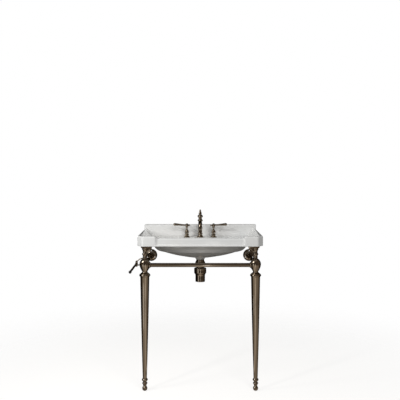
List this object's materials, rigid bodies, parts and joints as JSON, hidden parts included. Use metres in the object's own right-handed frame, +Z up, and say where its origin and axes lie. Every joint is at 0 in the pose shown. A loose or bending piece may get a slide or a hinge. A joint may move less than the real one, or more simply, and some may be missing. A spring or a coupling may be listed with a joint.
{
  "type": "console sink with legs",
  "caption": "Ceramic console basin with a raised back on two turned metal front legs, with side-lever taps, pop-up waste, bottle trap and a swinging towel arm.",
  "frame": {"origin": "midway between the basin's two wall-fixing holes, on the wall's face, 780 mm above the floor", "axes": "+X to the right seen from the front, +Y into the wall (the user stands at -Y), +Z up"},
  "size_m": [0.7132, 0.786, 0.9938],
  "materials": {
    "glazed_ceramic": "glossy white glaze",
    "polished_nickel": "polished, warm",
    "steel": "zinc plated",
    "brass": "turned, unplated",
    "rubber": "matte",
    "black_plastic": "satin black"
  },
  "bodies": {
    "stand_and_basin": {"basin": "glazed_ceramic", "bearing_pads": "rubber", "bracket_screws": "steel", "crossbar": "polished_nickel", "grub_screws": "steel", "left_ball_fitting": "polished_nickel", "left_bracket": "polished_nickel", "left_leg": "polished_nickel", "left_link_tube": "brass", "left_post": "polished_nickel", "left_side_tube": "polished_nickel", "left_tap_body": "polished_nickel", "left_tap_flange": "polished_nickel", "left_wall_flange": "polished_nickel", "leg_studs": "steel", "link_nuts": "brass", "outlet_nut": "polished_nickel", "outlet_pipe": "polished_nickel", "outlet_rose": "polished_nickel", "pivot_nut": "polished_nickel", "right_ball_fitting": "polished_nickel", "right_bracket": "polished_nickel", "right_leg": "polished_nickel", "right_link_tube": "brass", "right_post": "polished_nickel", "right_side_tube": "polished_nickel", "right_tap_body": "polished_nickel", "right_tap_flange": "polished_nickel", "right_wall_flange": "polished_nickel", "spout": "polished_nickel", "spout_body": "polished_nickel", "spout_outlet": "polished_nickel", "tap_back_nuts": "brass", "tap_washers": "rubber", "towel_arm_pin": "polished_nickel", "towel_arm_stay": "polished_nickel", "trap_body": "polished_nickel", "trap_cup": "polished_nickel", "trap_nut": "polished_nickel", "waste_body": "polished_nickel", "waste_flange": "polished_nickel", "waste_gasket": "rubber", "waste_nut": "polished_nickel"},
    "left_lever": {"left_lever": "polished_nickel", "left_tap_spindle": "brass", "left_lever_cap": "polished_nickel"},
    "right_lever": {"right_lever": "polished_nickel", "right_tap_spindle": "brass", "right_lever_cap": "polished_nickel"},
    "towel_arm": {"towel_arm": "polished_nickel", "towel_arm_tip": "black_plastic"},
    "popup_lift": {"popup_knob": "polished_nickel", "lift_rod": "polished_nickel", "clevis_strap": "polished_nickel", "clevis_screw": "polished_nickel"},
    "pivot_rod": {"pivot_rod": "polished_nickel"},
    "stopper": {"popup_stopper": "polished_nickel"},
    "left_foot": {"left_foot": "polished_nickel"},
    "right_foot": {"right_foot": "polished_nickel"}
  },
  "joints": [
    {"name": "left_lever_turn", "type": "hinge", "parent": "stand_and_basin", "child": "left_lever", "pos_m": [-0.0825, -0.09, 0.116], "axis": [0, 0, 1], "range_deg": [0, 90]},
    {"name": "right_lever_turn", "type": "hinge", "parent": "stand_and_basin", "child": "right_lever", "pos_m": [0.0825, -0.09, 0.116], "axis": [0, 0, -1], "range_deg": [0, 90]},
    {"name": "towel_arm_swing", "type": "hinge", "parent": "stand_and_basin", "child": "towel_arm", "pos_m": [-0.3555, -0.44, -0.0702], "axis": [0, 0, 1], "range_deg": [-180, 30]},
    {"name": "popup_lift_slide", "type": "slide", "parent": "stand_and_basin", "child": "popup_lift", "axis": [0, 0, 1], "range_m": [0, 0.024]},
    {"name": "pivot_rod_tilt", "type": "hinge", "parent": "stand_and_basin", "child": "pivot_rod", "pos_m": [0, -0.254, -0.099], "axis": [1, 0, 0], "range_deg": [0, 8.2]},
    {"name": "stopper_slide", "type": "slide", "parent": "stand_and_basin", "child": "stopper", "axis": [0, 0, -1], "range_m": [0, 0.0037]},
    {"name": "left_foot_screw", "type": "slide", "parent": "stand_and_basin", "child": "left_foot", "axis": [0, 0, -1], "range_m": [0, 0.01]},
    {"name": "right_foot_screw", "type": "slide", "parent": "stand_and_basin", "child": "right_foot", "axis": [0, 0, -1], "range_m": [0, 0.01]}
  ],
  "couplings": [
    {"joint": "pivot_rod_tilt", "follows": "popup_lift_slide", "rad_per_m": 5.9073},
    {"joint": "stopper_slide", "follows": "popup_lift_slide", "ratio": 0.15385}
  ]
}
